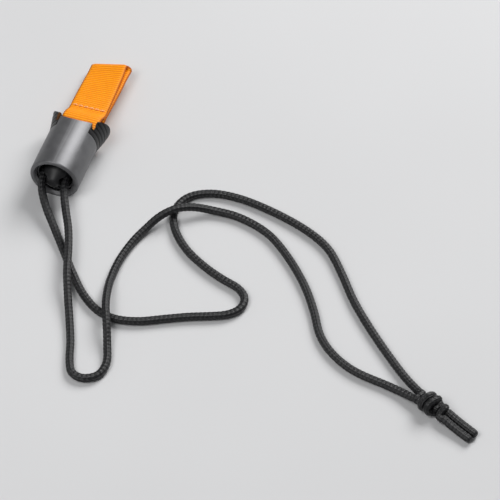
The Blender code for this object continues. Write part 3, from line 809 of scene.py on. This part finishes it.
# ---------------------------------------------------------------- tubes and cords

def ring_frames(points):
    """A pair of directions across the path at each point, carried along without twist."""
    frames = []
    side = None
    for i, point in enumerate(points):
        before = points[max(0, i - 1)]
        after = points[min(len(points) - 1, i + 1)]
        run = (after - before).normalized()
        if side is None:
            side = run.orthogonal().normalized()
        side = (side - run * side.dot(run)).normalized()
        frames.append((side, run.cross(side)))
    return frames


def add_tube(bm, points, radius, sides, relief=0.0, uv_layer=None, tip=False):
    """Closed tube along points. Relief raises the diamonds of a braid; a tip is rounded off."""
    rings = []
    for i, (point, (right, up)) in enumerate(zip(points, ring_frames(points))):
        ring = []
        from_end = len(points) - 1 - i
        closing = TIP_CLOSING[from_end] if tip and from_end < len(TIP_CLOSING) else 1.0
        for j in range(sides):
            angle = 2 * math.pi * j / sides
            crown = math.cos(BRAID_DIAMONDS * angle) + math.cos(math.pi * i / 2)
            size = (radius + relief * crown / 2) * closing
            ring.append(bm.verts.new(point + (right * math.cos(angle) + up * math.sin(angle)) * size))
        rings.append(ring)
    for i, (ring, following) in enumerate(zip(rings, rings[1:])):
        for j in range(sides):
            k = (j + 1) % sides
            face = bm.faces.new((ring[j], ring[k], following[k], following[j]))
            face.smooth = True
            if uv_layer:
                for loop, (a, b) in zip(face.loops, ((j, i), (j + 1, i), (j + 1, i + 1), (j, i + 1))):
                    loop[uv_layer].uv = (a / 4, b / 4)
    for ring, end in ((rings[0], points[0]), (rings[-1], points[-1])):
        centre = bm.verts.new(end)
        for j in range(sides):
            bm.faces.new((centre, ring[j], ring[(j + 1) % sides]))


def round_tube(name, points, radius, sides):
    """Plain round tube as a mesh."""
    bm = bmesh.new()
    add_tube(bm, points, radius, sides)
    mesh = mesh_from(name, bm)
    mesh.shade_smooth()
    return mesh


def smooth_route(route):
    """Curve through a route given in millimetres, eased a few times, in metres."""
    result = [point * MM for point in curve_through(route)]
    for _ in range(ROUTE_SMOOTHING):
        eased = [(a + 2 * b + c) / 4 for a, b, c in zip(result, result[1:], result[2:])]
        result = [result[0]] + eased + [result[-1]]
    return result


def make_strand(name, route, cad_node, mat):
    """One braided strand from inside the lock to the knot."""
    points, length = evenly(smooth_route(route), BRAID_STEP)
    bm = bmesh.new()
    uv_layer = bm.loops.layers.uv.new("braid")
    add_tube(bm, points, CORD_RADIUS - BRAID_RELIEF / 2, BRAID_SIDES, BRAID_RELIEF, uv_layer)
    strand = add_object(name, mesh_from(name, bm), mat)
    place_piece(strand, "housing", "black_cord", cad_node)
    return strand, points, length


def knot_place(ahead, across, up):
    """A point given along, across and above the knot's middle."""
    run = Vector((math.cos(KNOT_HEADING), math.sin(KNOT_HEADING), 0))
    side = Vector((-run.y, run.x, 0))
    return KNOT_CENTRE + run * ahead + side * across + Vector((0, 0, up))


def make_knot(mat):
    """Overhand knot in both strands: the pair wraps round its own core and passes out."""
    bm = bmesh.new()
    uv_layer = bm.loops.layers.uv.new("braid")
    for strand in (0, 1):
        shift = (strand - 0.5) * KNOT_PITCH / 2
        beside = (0.5 - strand) * KNOT_ENTRY_SPREAD
        points = [knot_place(-6.4 * MM, beside, -1.0 * MM)]
        points.append(knot_place(-4.6 * MM, beside * 0.8, -0.6 * MM))
        steps = 16
        for i in range(steps + 1):
            share = i / steps
            angle = math.radians(200) + 2 * math.pi * KNOT_TURNS * share
            ahead = (share - 0.5) * KNOT_PITCH * KNOT_TURNS * KNOT_TIGHTNESS + shift
            swell = KNOT_WRAP_RADIUS * (0.60 + 0.40 * math.sin(math.pi * share))
            across = swell * 1.05 * math.cos(angle)
            up = swell * 0.78 * math.sin(angle) - 0.05 * MM
            points.append(knot_place(ahead + KNOT_SLANT * across, across, up))
        points.append(knot_place(4.8 * MM, beside * 0.8, -1.0 * MM))
        points.append(knot_place(6.6 * MM, beside, -1.3 * MM))
        route = [point / MM for point in points]
        path, _ = evenly(smooth_route(route), BRAID_STEP)
        add_tube(bm, path, KNOT_CORD_RADIUS, BRAID_SIDES, BRAID_RELIEF, uv_layer)
    core = [knot_place(ahead * MM, 0, -0.2 * MM) for ahead in (-3.6, -1.8, 0, 1.8, 3.6)]
    add_tube(bm, evenly(core, BRAID_STEP)[0], KNOT_CORD_RADIUS, BRAID_SIDES, BRAID_RELIEF, uv_layer)
    knot = add_object("overhand_knot", mesh_from("overhand_knot", bm), mat)
    return place_piece(knot, "housing", "black_cord", "cord_knot")


def make_tail(name, side, cad_node, mat):
    """One cut end past the knot, melted to a small hard tip."""
    ahead = Vector((math.cos(KNOT_HEADING), math.sin(KNOT_HEADING), 0))
    across = Vector((-ahead.y, ahead.x, 0)) * side * TAIL_SPREAD
    start = KNOT_CENTRE + ahead * TAIL_START + across
    points = []
    steps = 5
    for i in range(steps + 1):
        share = i / steps
        point = start + ahead * TAIL_LENGTH * share
        point.z = TAIL_FLOOR_Z + TAIL_DROP * (1 - share) ** 2
        points.append(point)
    bm = bmesh.new()
    uv_layer = bm.loops.layers.uv.new("braid")
    path, _ = evenly(points, BRAID_STEP)
    add_tube(bm, path, CORD_RADIUS - BRAID_RELIEF / 2, BRAID_SIDES, BRAID_RELIEF, uv_layer, True)
    tail = add_object(name, mesh_from(name, bm), mat)
    return place_piece(tail, "housing", "black_cord", cad_node)


# ---------------------------------------------------------------- stage

def make_floor():
    """Plain pale floor with the faintest unevenness."""
    bm = bmesh.new()
    bmesh.ops.create_grid(bm, x_segments=1, y_segments=1, size=3.0)
    mat, tree, shader = new_material("pale_floor")
    place = node(tree, "TexCoord").outputs["Object"]
    clouds = node(tree, "TexNoise", {"Vector": place, "Scale": 6.0, "Detail": 2.0})
    stops = [(0.3, (0.60, 0.60, 0.605)), (0.7, (0.63, 0.63, 0.635))]
    tree.links.new(ramp(tree, clouds.outputs["Fac"], stops), shader.inputs["Base Color"])
    shader.inputs["Roughness"].default_value = 0.8
    floor = add_object("studio_floor", mesh_from("studio_floor", bm), mat)


def add_area_light(name, location, target, size, watts, colour=(1, 1, 1)):
    """Square soft box aimed at a point."""
    data = bpy.data.lights.new(name, "AREA")
    data.size = size
    data.energy = watts
    data.color = colour
    light = bpy.data.objects.new(name, data)
    bpy.context.scene.collection.objects.link(light)
    light.location = location
    light.rotation_euler = (Vector(target) - Vector(location)).to_track_quat("-Z", "Y").to_euler()


def make_lights():
    """Soft key from the left front, one behind that runs a highlight down the barrel, and a fill."""
    target = (0.05, -0.02, 0.0)
    add_area_light("key", (-0.15, -0.42, 0.72), target, 0.42, 3.4)
    add_area_light("highlight", (0.28, 0.66, 0.67), target, 0.56, 9.0)
    add_area_light("fill", (-0.80, -0.10, 0.50), target, 0.60, 0.3)
    world = bpy.data.worlds.new("studio")
    world.use_nodes = True
    world.node_tree.nodes["Background"].inputs["Color"].default_value = (0.95, 0.97, 1.0, 1.0)
    world.node_tree.nodes["Background"].inputs["Strength"].default_value = 0.15
    bpy.context.scene.world = world


def make_camera():
    """Long lens looking down on the lock at the photograph's angle."""
    azimuth = math.radians(18.5)
    elevation = math.radians(50.0)
    view_width = 170 * MM
    aim = Vector((0.0716, -0.0146, 0.0))
    data = bpy.data.cameras.new("camera")
    data.lens = 250.0
    data.clip_start = 0.01
    data.clip_end = 20.0
    distance = view_width * data.lens / data.sensor_width
    back = Vector((
        math.sin(azimuth) * math.cos(elevation),
        -math.cos(azimuth) * math.cos(elevation),
        math.sin(elevation),
    ))
    camera = bpy.data.objects.new("camera", data)
    bpy.context.scene.collection.objects.link(camera)
    camera.location = aim + back * distance
    camera.rotation_euler = (-back).to_track_quat("-Z", "Y").to_euler()
    bpy.context.scene.camera = camera
    bpy.context.scene.view_settings.view_transform = "Standard"


# ---------------------------------------------------------------- assembly

def main():
    satin_grey = moulded_plastic(
        "satin_grey_plastic", (0.15, 0.15, 0.155), (0.18, 0.18, 0.185),
        roughness=0.47, grain=0.2, metallic=0.75,
    )
    # Near-black liner colour: partly the part's own, partly painted shade for the dark ring of shadow in
    # the mouth.
    gloss_black_and_shade = moulded_plastic(
        "gloss_black_plastic", (0.008, 0.008, 0.009), (0.014, 0.014, 0.016), roughness=0.18, grain=0.08,
    )
    satin_black = moulded_plastic(
        "satin_black_plastic", (0.005, 0.005, 0.006), (0.010, 0.010, 0.011), roughness=0.50, grain=0.25,
    )
    dark_grey = moulded_plastic(
        "dark_grey_plastic", (0.011, 0.011, 0.012), (0.019, 0.019, 0.020), roughness=0.42, grain=0.3,
    )
    steel = drawn_steel("drawn_steel")
    webbing = woven_webbing("orange_webbing")
    # The light colour is a painted highlight on orange thread.
    thread = twisted_thread("thread_painted_highlight", (0.85, 0.33, 0.06), (1.0, 0.56, 0.20))
    braid = braided_cord("black_braid")

    make_barrel(satin_grey)
    make_throat_sleeve(gloss_black_and_shade)
    make_wedge_core(satin_black)
    make_release_head(dark_grey)
    make_spring(steel)
    make_pull_tab(webbing)
    make_stitching(thread)
    frame["nodes"]["webbing_bar"].data.materials.clear()
    frame["nodes"]["webbing_bar"].data.materials.append(steel)
    frame["nodes"]["spring_retainer"].data.materials.clear()
    frame["nodes"]["spring_retainer"].data.materials.append(satin_black)

    knot = make_knot(braid)
    tails = [
        make_tail("cut_end_left", 1, "cord_tail_left", braid),
        make_tail("cut_end_right", -1, "cord_tail_right", braid),
    ]
    left, left_path, left_length = make_strand(
        "braided_strand_left", LEFT_ROUTE, "drawcord_left", braid,
    )
    right, right_path, right_length = make_strand(
        "braided_strand_right", RIGHT_ROUTE, "drawcord_right", braid,
    )
    print("strand lengths in mm", round(left_length / MM, 1), round(right_length / MM, 1))
    make_floor()
    make_lights()
    make_camera()


main()
